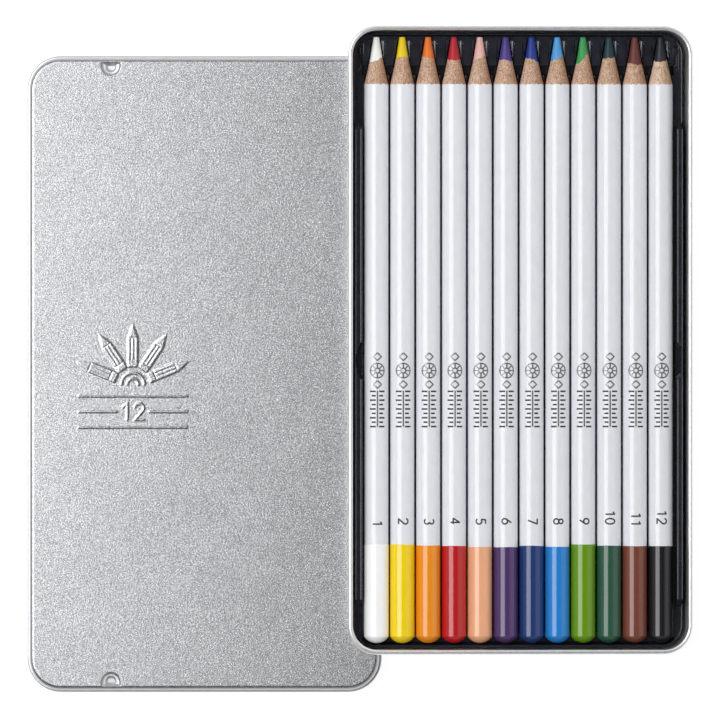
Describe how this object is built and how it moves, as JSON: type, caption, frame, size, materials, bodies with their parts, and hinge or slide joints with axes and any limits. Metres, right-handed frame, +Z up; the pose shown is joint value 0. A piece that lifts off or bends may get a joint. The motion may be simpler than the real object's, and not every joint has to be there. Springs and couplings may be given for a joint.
{
  "type": "coloured pencil tin",
  "caption": "Open flat tin of round sharpened coloured pencils in a black formed insert, its tray leaning on the loose brushed lid beside it.",
  "frame": {"origin": "on the table, under the middle of the whole layout", "axes": "+Z up from the table, +Y along the pencils towards their points, +X across them towards the tray"},
  "size_m": [0.1922, 0.1924, 0.0198],
  "materials": {
    "lid_tinplate": "fine matt grain",
    "tray_tinplate": "satin",
    "insert_plastic": "gloss",
    "cedar": "cut grain",
    "barrel_lacquer": "gloss lacquer",
    "white_core": "waxy pigment",
    "white_dip": "gloss lacquer",
    "yellow_core": "waxy pigment",
    "yellow_dip": "gloss lacquer",
    "orange_core": "waxy pigment",
    "orange_dip": "gloss lacquer",
    "red_core": "waxy pigment",
    "red_dip": "gloss lacquer",
    "peach_core": "waxy pigment",
    "peach_dip": "gloss lacquer",
    "purple_core": "waxy pigment",
    "purple_dip": "gloss lacquer",
    "dark_blue_core": "waxy pigment",
    "dark_blue_dip": "gloss lacquer",
    "light_blue_core": "waxy pigment",
    "light_blue_dip": "gloss lacquer",
    "light_green_core": "waxy pigment",
    "light_green_dip": "gloss lacquer",
    "dark_green_core": "waxy pigment",
    "dark_green_dip": "gloss lacquer",
    "brown_core": "waxy pigment",
    "brown_dip": "gloss lacquer",
    "black_core": "waxy pigment",
    "black_dip": "gloss lacquer"
  },
  "bodies": {
    "lid": {"lid": "lid_tinplate"},
    "tray": {"tray": "tray_tinplate"},
    "insert": {"insert": "insert_plastic"},
    "white_pencil": {"white_casing": "cedar", "white_core": "white_core", "white_lacquer": "barrel_lacquer", "white_dip": "white_dip"},
    "yellow_pencil": {"yellow_casing": "cedar", "yellow_core": "yellow_core", "yellow_lacquer": "barrel_lacquer", "yellow_dip": "yellow_dip"},
    "orange_pencil": {"orange_casing": "cedar", "orange_core": "orange_core", "orange_lacquer": "barrel_lacquer", "orange_dip": "orange_dip"},
    "red_pencil": {"red_casing": "cedar", "red_core": "red_core", "red_lacquer": "barrel_lacquer", "red_dip": "red_dip"},
    "peach_pencil": {"peach_casing": "cedar", "peach_core": "peach_core", "peach_lacquer": "barrel_lacquer", "peach_dip": "peach_dip"},
    "purple_pencil": {"purple_casing": "cedar", "purple_core": "purple_core", "purple_lacquer": "barrel_lacquer", "purple_dip": "purple_dip"},
    "dark_blue_pencil": {"dark_blue_casing": "cedar", "dark_blue_core": "dark_blue_core", "dark_blue_lacquer": "barrel_lacquer", "dark_blue_dip": "dark_blue_dip"},
    "light_blue_pencil": {"light_blue_casing": "cedar", "light_blue_core": "light_blue_core", "light_blue_lacquer": "barrel_lacquer", "light_blue_dip": "light_blue_dip"},
    "light_green_pencil": {"light_green_casing": "cedar", "light_green_core": "light_green_core", "light_green_lacquer": "barrel_lacquer", "light_green_dip": "light_green_dip"},
    "dark_green_pencil": {"dark_green_casing": "cedar", "dark_green_core": "dark_green_core", "dark_green_lacquer": "barrel_lacquer", "dark_green_dip": "dark_green_dip"},
    "brown_pencil": {"brown_casing": "cedar", "brown_core": "brown_core", "brown_lacquer": "barrel_lacquer", "brown_dip": "brown_dip"},
    "black_pencil": {"black_casing": "cedar", "black_core": "black_core", "black_lacquer": "barrel_lacquer", "black_dip": "black_dip"}
  },
  "joints": [
    {"name": "tray_lift", "type": "slide", "parent": "lid", "child": "tray", "axis": [0, 0, 1], "range_m": [0, 0.06]},
    {"name": "insert_lift", "type": "slide", "parent": "tray", "child": "insert", "axis": [0.0916, 0, 0.9958], "range_m": [0, 0.025]},
    {"name": "white_pencil_lift", "type": "slide", "parent": "insert", "child": "white_pencil", "axis": [0.0916, 0, 0.9958], "range_m": [0, 0.03]},
    {"name": "yellow_pencil_lift", "type": "slide", "parent": "insert", "child": "yellow_pencil", "axis": [0.0916, 0, 0.9958], "range_m": [0, 0.03]},
    {"name": "orange_pencil_lift", "type": "slide", "parent": "insert", "child": "orange_pencil", "axis": [0.0916, 0, 0.9958], "range_m": [0, 0.03]},
    {"name": "red_pencil_lift", "type": "slide", "parent": "insert", "child": "red_pencil", "axis": [0.0916, 0, 0.9958], "range_m": [0, 0.03]},
    {"name": "peach_pencil_lift", "type": "slide", "parent": "insert", "child": "peach_pencil", "axis": [0.0916, 0, 0.9958], "range_m": [0, 0.03]},
    {"name": "purple_pencil_lift", "type": "slide", "parent": "insert", "child": "purple_pencil", "axis": [0.0916, 0, 0.9958], "range_m": [0, 0.03]},
    {"name": "dark_blue_pencil_lift", "type": "slide", "parent": "insert", "child": "dark_blue_pencil", "axis": [0.0916, 0, 0.9958], "range_m": [0, 0.03]},
    {"name": "light_blue_pencil_lift", "type": "slide", "parent": "insert", "child": "light_blue_pencil", "axis": [0.0916, 0, 0.9958], "range_m": [0, 0.03]},
    {"name": "light_green_pencil_lift", "type": "slide", "parent": "insert", "child": "light_green_pencil", "axis": [0.0916, 0, 0.9958], "range_m": [0, 0.03]},
    {"name": "dark_green_pencil_lift", "type": "slide", "parent": "insert", "child": "dark_green_pencil", "axis": [0.0916, 0, 0.9958], "range_m": [0, 0.03]},
    {"name": "brown_pencil_lift", "type": "slide", "parent": "insert", "child": "brown_pencil", "axis": [0.0916, 0, 0.9958], "range_m": [0, 0.03]},
    {"name": "black_pencil_lift", "type": "slide", "parent": "insert", "child": "black_pencil", "axis": [0.0916, 0, 0.9958], "range_m": [0, 0.03]}
  ]
}
